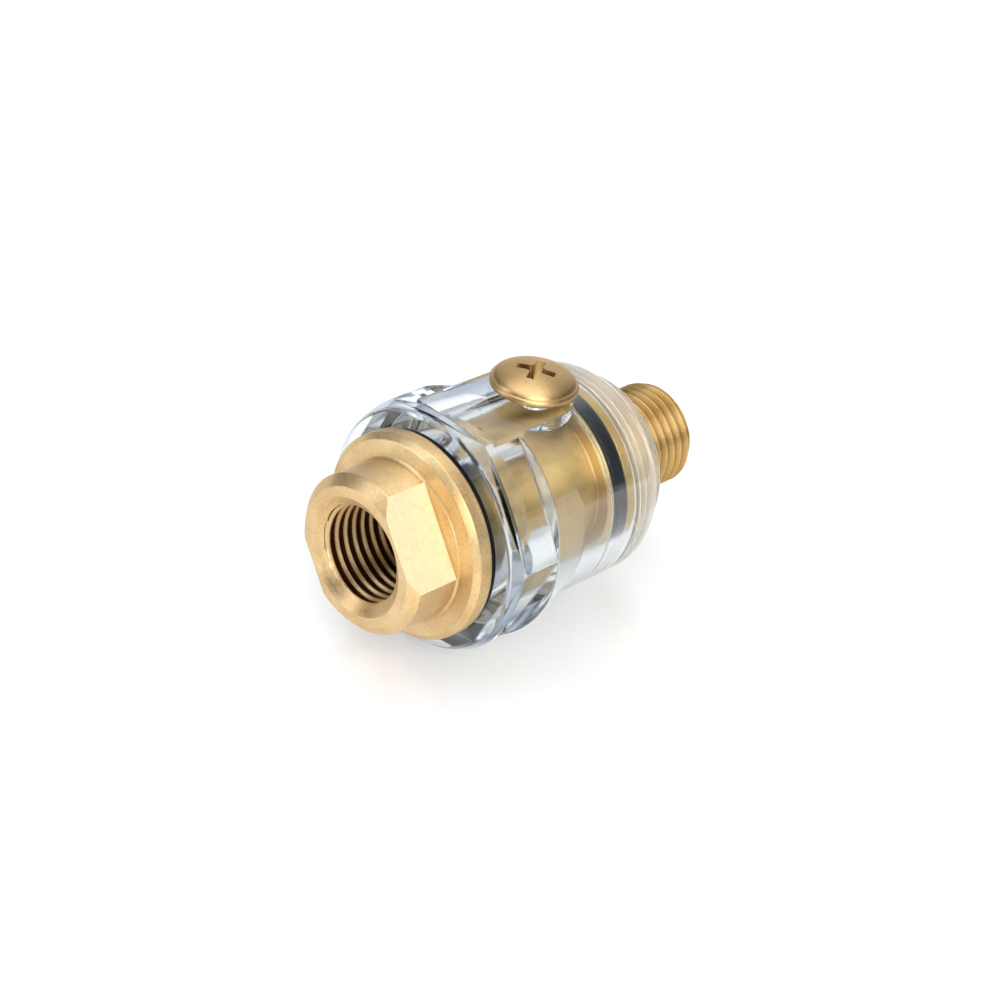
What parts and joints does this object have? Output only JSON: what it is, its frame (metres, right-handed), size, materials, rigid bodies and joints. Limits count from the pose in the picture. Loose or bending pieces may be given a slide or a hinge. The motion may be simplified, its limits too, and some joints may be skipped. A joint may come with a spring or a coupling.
{
  "type": "air line lubricator",
  "caption": "In-line air lubricator: clear oil reservoir held on a brass core, with a threaded inlet, a threaded outlet and a fill screw on top.",
  "frame": {"origin": "on the flow axis where the outlet thread leaves the core's rear face", "axes": "+X along the flow axis, from the inlet to the outlet; +Z out of the fill screw; +Y completes the right-handed set"},
  "size_m": [0.0515, 0.0306, 0.0317],
  "materials": {
    "inlet_brass": "satin, turned",
    "core_brass": "turned",
    "polished_brass": "polished",
    "clear_plastic": "gloss",
    "black_rubber": "matte",
    "nylon": "matte",
    "felt": "matte",
    "sintered_bronze": "matte, porous",
    "steel": "bright"
  },
  "bodies": {
    "housing": {"inlet_body": "inlet_brass", "core": "core_brass", "reservoir": "clear_plastic", "front_gasket": "black_rubber", "rear_o_ring": "black_rubber", "nose_seal": "black_rubber", "jet_block": "core_brass", "jet_seal_front": "black_rubber", "jet_seal_rear": "black_rubber", "wick": "felt", "bleed_plug": "sintered_bronze", "check_spring": "steel", "nozzle": "polished_brass"},
    "fill_seal": {"fill_seal": "nylon"},
    "fill_screw": {"fill_screw": "polished_brass"},
    "metering_seal": {"metering_seal": "black_rubber"},
    "metering_screw": {"metering_screw": "polished_brass"},
    "check_ball": {"check_ball": "steel"}
  },
  "joints": [
    {"name": "fill_screw_lift", "type": "slide", "parent": "housing", "child": "fill_seal", "axis": [0, 0, 1], "range_m": [0, 0.0048]},
    {"name": "fill_screw_turn", "type": "hinge", "parent": "fill_seal", "child": "fill_screw", "pos_m": [-0.0134, 0, 0], "axis": [0, 0, 1], "range_deg": [0, 2160]},
    {"name": "metering_screw_travel", "type": "slide", "parent": "housing", "child": "metering_seal", "axis": [-1, 0, 0], "range_m": [0, 0.001]},
    {"name": "metering_screw_turn", "type": "hinge", "parent": "metering_seal", "child": "metering_screw", "pos_m": [-0.0266, 0, 0], "axis": [-1, 0, 0], "range_deg": [0, 720]},
    {"name": "check_ball_lift", "type": "slide", "parent": "housing", "child": "check_ball", "axis": [1, 0, 0], "range_m": [0, 0.0005], "stiffness_N_per_m": 5, "springref_m": -0.0005, "deforming": ["check_spring"]}
  ],
  "couplings": [
    {"joint": "fill_screw_turn", "follows": "fill_screw_lift", "rad_per_m": 7854},
    {"joint": "metering_screw_turn", "follows": "metering_screw_travel", "rad_per_m": 12566}
  ]
}
